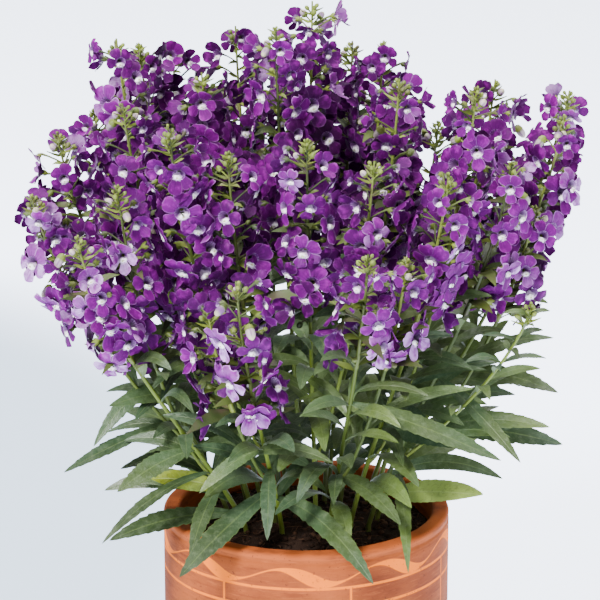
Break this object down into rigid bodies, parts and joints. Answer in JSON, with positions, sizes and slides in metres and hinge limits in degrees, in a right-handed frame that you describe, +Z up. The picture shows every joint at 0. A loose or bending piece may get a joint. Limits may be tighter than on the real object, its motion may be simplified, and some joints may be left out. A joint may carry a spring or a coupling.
{
  "type": "potted angelonia",
  "caption": "Bushy angelonia with upright spikes of small purple flowers over toothed, lance-shaped leaves, growing in soil in a cylindrical clay pot.",
  "frame": {"origin": "middle of the pot's flat underside", "axes": "+Z up along the pot's axis; the face seen in the picture is -Y, and +X is to its right"},
  "size_m": [0.3096, 0.2552, 0.4102],
  "materials": {
    "clay": "matt fired clay with a brushed slip band",
    "soil": "loose moist bark and peat",
    "foliage": "satin leaf",
    "petals": "velvety petal"
  },
  "bodies": {
    "root": {"pot": "clay", "soil": "soil", "stem_01": "foliage", "stem_02": "foliage", "stem_03": "foliage", "stem_04": "foliage", "stem_05": "foliage", "stem_06": "foliage", "stem_07": "foliage", "stem_08": "foliage", "stem_09": "foliage", "stem_10": "foliage", "stem_11": "foliage", "stem_12": "foliage", "stem_13": "foliage", "stem_14": "foliage", "stem_15": "foliage", "stem_16": "foliage", "stem_17": "foliage", "stem_18": "foliage", "stem_19": "foliage", "stem_20": "foliage", "spike_01": "petals", "spike_02": "petals", "spike_03": "petals", "spike_04": "petals", "spike_05": "petals", "spike_06": "petals", "spike_07": "petals", "spike_08": "petals", "spike_09": "petals", "spike_10": "petals", "spike_11": "petals", "spike_12": "petals", "spike_13": "petals", "spike_14": "petals", "spike_15": "petals", "spike_16": "petals", "spike_17": "petals", "spike_18": "petals", "spike_19": "petals", "spike_20": "petals", "spike_21": "petals", "spike_22": "petals", "spike_23": "petals", "spike_24": "petals", "spike_25": "petals", "spike_26": "petals", "spike_27": "petals", "spike_28": "petals", "spike_29": "petals", "spike_30": "petals", "spike_31": "petals", "spike_32": "petals", "spike_33": "petals", "spike_34": "petals", "spike_35": "petals", "spike_36": "petals", "spike_37": "petals", "spike_38": "petals"}
  },
  "joints": []
}
